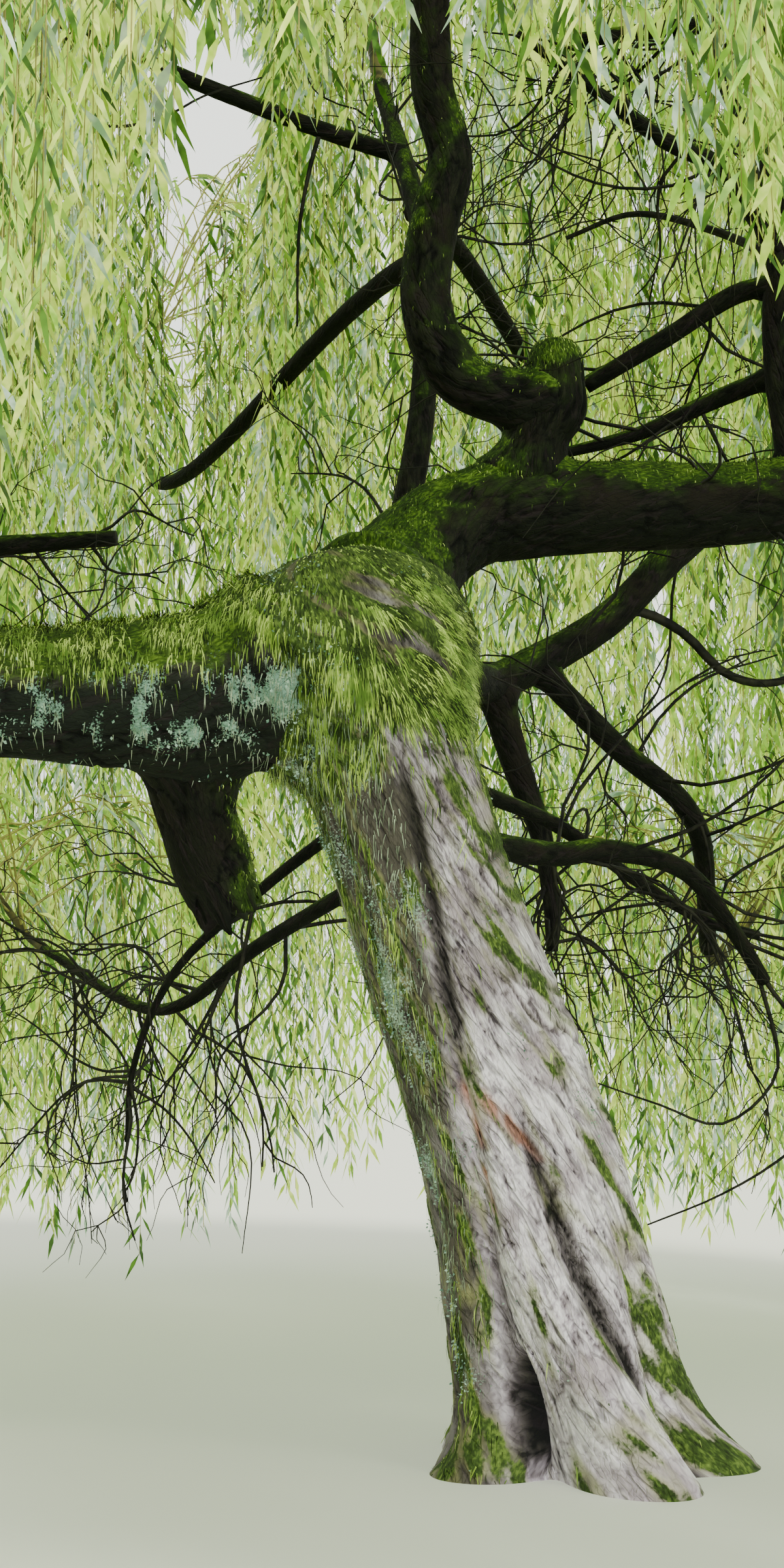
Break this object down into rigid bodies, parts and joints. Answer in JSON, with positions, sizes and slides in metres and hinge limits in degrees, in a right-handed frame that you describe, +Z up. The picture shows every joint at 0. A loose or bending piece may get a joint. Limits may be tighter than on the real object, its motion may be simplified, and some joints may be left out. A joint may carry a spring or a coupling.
{
  "type": "weeping willow tree",
  "caption": "Mature weeping willow with a leaning forked trunk, heavy mossy boughs and a wide dome of hanging leafy shoots that parts in front of the trunk.",
  "frame": {"origin": "in the flat cut under the trunk, at ground level, close to the middle of its foot", "axes": "+Z up along the plumb line, +X to the right of the front, +Y from the front to the back"},
  "size_m": [11.3646, 11.2715, 9.5019],
  "materials": {
    "trunk_bark": "rough furrowed bark, pale grey with moss streaks",
    "mossy_bark": "bark under bright moss and crusty lichen",
    "shaded_bark": "rough dark bark with moss on the upper side",
    "curtain_leaves": "matte yellow-green leaves",
    "cascade_leaves": "matte mid-green leaves",
    "crest_leaves": "matte light green leaves",
    "low_leaves": "matte shaded green leaves"
  },
  "bodies": {
    "root": {"back_bough": "shaded_bark", "back_bough_low": "shaded_bark", "back_riser": "shaded_bark", "branch_back_left": "shaded_bark", "branch_back_right": "shaded_bark", "branch_front_left": "shaded_bark", "branch_front_right": "shaded_bark", "branch_high_front_left": "shaded_bark", "branch_high_front_right": "shaded_bark", "branch_high_left_back": "shaded_bark", "branch_high_right_back": "shaded_bark", "branch_left_front": "shaded_bark", "branch_right_front": "shaded_bark", "branch_top_back": "shaded_bark", "branch_top_right": "shaded_bark", "broken_limb": "mossy_bark", "cascade_back": "cascade_leaves", "cascade_front_left": "cascade_leaves", "cascade_front_right": "cascade_leaves", "cascade_left": "cascade_leaves", "cascade_left_back": "cascade_leaves", "cascade_right": "cascade_leaves", "cascade_right_back": "cascade_leaves", "crest_back": "crest_leaves", "crest_left": "crest_leaves", "crest_right": "crest_leaves", "curtain_back_left": "curtain_leaves", "curtain_back_right": "curtain_leaves", "curtain_front_left": "curtain_leaves", "curtain_front_right": "curtain_leaves", "curtain_left": "curtain_leaves", "curtain_left_back": "curtain_leaves", "curtain_left_front": "curtain_leaves", "curtain_right": "curtain_leaves", "curtain_right_back": "curtain_leaves", "curtain_right_front": "curtain_leaves", "hanging_dead_limb": "shaded_bark", "hanging_limb_left": "shaded_bark", "left_back_bough": "shaded_bark", "left_back_snag": "shaded_bark", "left_bough": "mossy_bark", "left_riser": "shaded_bark", "low_limb_left_lower": "shaded_bark", "low_limb_left_upper": "shaded_bark", "low_limb_right_lower": "shaded_bark", "low_limb_right_upper": "shaded_bark", "low_sprays_left": "low_leaves", "low_sprays_right": "low_leaves", "right_bough": "shaded_bark", "right_riser": "shaded_bark", "riser_limb_left": "shaded_bark", "riser_limb_lower": "shaded_bark", "riser_limb_top": "shaded_bark", "riser_limb_upper": "shaded_bark", "rising_bough": "shaded_bark", "rising_bough_foot": "shaded_bark", "rising_bough_neck": "shaded_bark", "trunk": "trunk_bark"}
  },
  "joints": []
}
